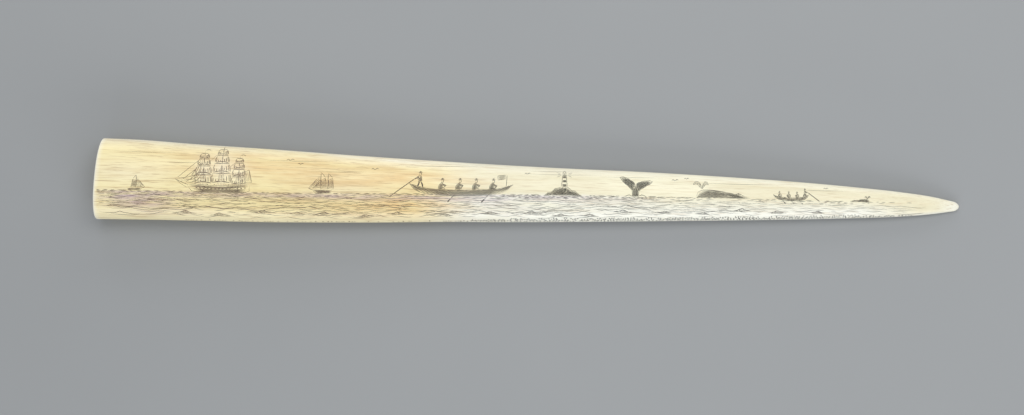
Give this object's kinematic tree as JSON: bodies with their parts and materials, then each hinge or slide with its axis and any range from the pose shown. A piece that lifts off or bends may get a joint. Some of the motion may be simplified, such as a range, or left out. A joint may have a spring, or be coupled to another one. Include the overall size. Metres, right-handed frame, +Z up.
{
  "type": "scrimshaw swordfish bill",
  "caption": "Long tapering bill of a swordfish, sawn off at the head, polished and engraved with a sea scene along its domed face.",
  "frame": {"origin": "on the surface that the bill lies on, under the middle of its box", "axes": "+X from the sawn end to the tip, +Y across, +Z up through the domed, engraved face"},
  "size_m": [0.8222, 0.0772, 0.0364],
  "materials": {
    "bone": "polished fish bone, cream with amber stains, satin shine",
    "ink": "lampblack rubbed into the engraved lines"
  },
  "bodies": {
    "root": {"swordfish_bill": "bone"}
  },
  "joints": []
}
